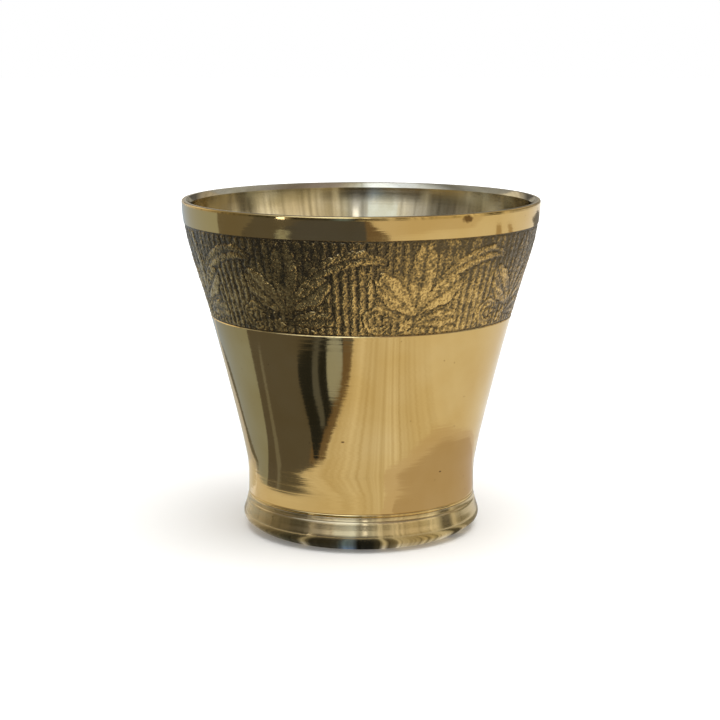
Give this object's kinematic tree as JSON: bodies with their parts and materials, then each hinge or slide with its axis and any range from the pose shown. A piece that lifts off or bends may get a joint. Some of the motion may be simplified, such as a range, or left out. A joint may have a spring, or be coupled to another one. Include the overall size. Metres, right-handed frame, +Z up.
{
  "type": "brass tumbler",
  "caption": "Flared brass drinking tumbler with a turned foot ring, a darkened floral frieze strip below the lip and a tinned inside.",
  "frame": {"origin": "centre of the circle that the foot stands on", "axes": "+Z up along the axis of the tumbler, out of its mouth; -Y towards the viewer of the picture; the frieze strip's seam is at +Y"},
  "size_m": [0.0812, 0.0812, 0.076],
  "materials": {
    "polished_brass": "turned and polished",
    "antiqued_brass": "darkened in the hollows, rubbed bright on the raised work",
    "dull_brass": "as rolled, dulled by handling",
    "solder": "dull soft solder",
    "tin": "wiped tin"
  },
  "bodies": {
    "root": {"body_wall": "polished_brass", "frieze_strip": "antiqued_brass", "strip_seam_solder": "solder", "foot_ring": "polished_brass", "floor_disc": "dull_brass", "seam_solder": "solder", "base_solder": "solder", "tin_lining": "tin"}
  },
  "joints": []
}
